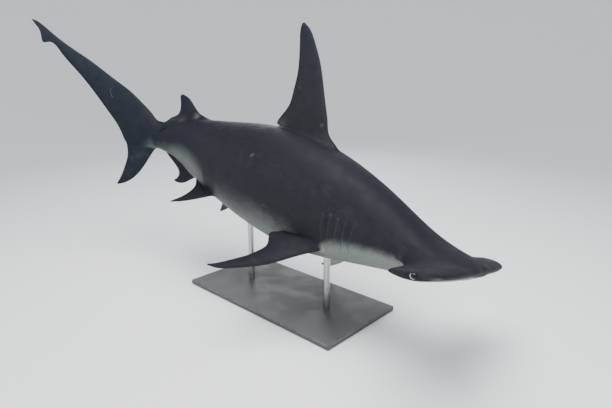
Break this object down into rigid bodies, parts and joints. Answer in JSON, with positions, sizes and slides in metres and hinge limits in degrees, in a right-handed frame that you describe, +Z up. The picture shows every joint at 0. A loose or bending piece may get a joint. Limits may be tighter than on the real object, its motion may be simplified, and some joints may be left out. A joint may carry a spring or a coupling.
{
  "type": "great hammerhead shark",
  "caption": "Great hammerhead shark, a still life-size model in a swimming pose with its tail swung to its right, held above a flat plate by upright rods.",
  "frame": {"origin": "middle of the stand plate's underside, on the floor it rests on", "axes": "+X the way the trunk heads, +Y to the animal's left, +Z up"},
  "size_m": [3.0224, 1.0723, 1.7191],
  "materials": {
    "shark_skin": "fine matt shark skin, charcoal grey-brown above, paling softly to grey-white below, with dusky fin tips and a few old scratches",
    "eye": "wet dark eye with a pale rim and a clear glossy surface",
    "stand_plate": "dark grey powder coat, fine grained, with softly worn edges",
    "stand_rod": "brushed steel rod, faint rings along its length"
  },
  "bodies": {
    "root": {"head": "shark_skin", "lower_jaw": "shark_skin", "gill_region": "shark_skin", "trunk_front": "shark_skin", "trunk_rear": "shark_skin", "tail_stalk": "shark_skin", "caudal_upper": "shark_skin", "caudal_lower": "shark_skin", "dorsal_first": "shark_skin", "dorsal_second": "shark_skin", "anal_fin": "shark_skin", "pectoral_left": "shark_skin", "pectoral_right": "shark_skin", "pelvic_left": "shark_skin", "pelvic_right": "shark_skin", "hammer_wing_left": "shark_skin", "hammer_wing_right": "shark_skin", "eye_left": "eye", "eye_right": "eye", "stand_base": "stand_plate", "stand_rod_front": "stand_rod", "stand_rod_rear": "stand_rod"}
  },
  "joints": []
}
